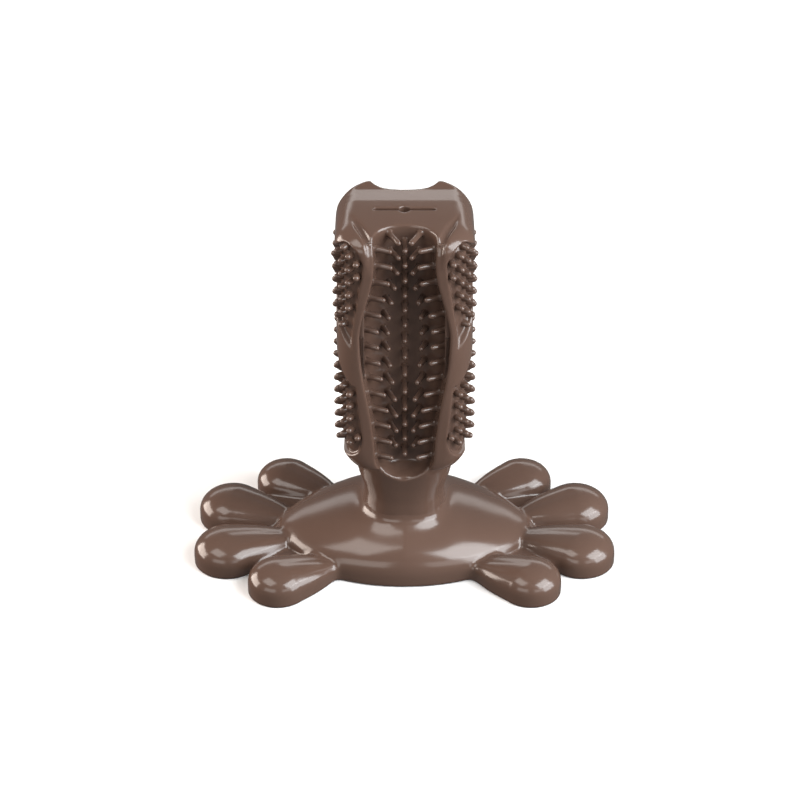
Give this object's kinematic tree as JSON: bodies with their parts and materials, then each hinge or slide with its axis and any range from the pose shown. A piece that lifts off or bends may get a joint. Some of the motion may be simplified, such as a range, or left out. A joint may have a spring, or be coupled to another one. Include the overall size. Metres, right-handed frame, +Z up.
{
  "type": "dog chew toothbrush",
  "caption": "Rubber chew toothbrush for a dog: a paw-toed base carries an upright four-sided head with bristle troughs front and back and nubbed side pads.",
  "frame": {"origin": "centre of the flat underside, where the base rests on the floor", "axes": "+Z up along the stem, +X across the width from paw to paw, -Y towards the front bristle trough"},
  "size_m": [0.125, 0.073, 0.1102],
  "materials": {
    "brown_rubber": "glossy moulded rubber"
  },
  "bodies": {
    "root": {"paw_base": "brown_rubber", "stem": "brown_rubber", "head_frame": "brown_rubber", "front_bristle_strip": "brown_rubber", "back_bristle_strip": "brown_rubber", "left_upper_bristle_pad": "brown_rubber", "left_lower_bristle_pad": "brown_rubber", "right_upper_bristle_pad": "brown_rubber", "right_lower_bristle_pad": "brown_rubber"}
  },
  "joints": []
}
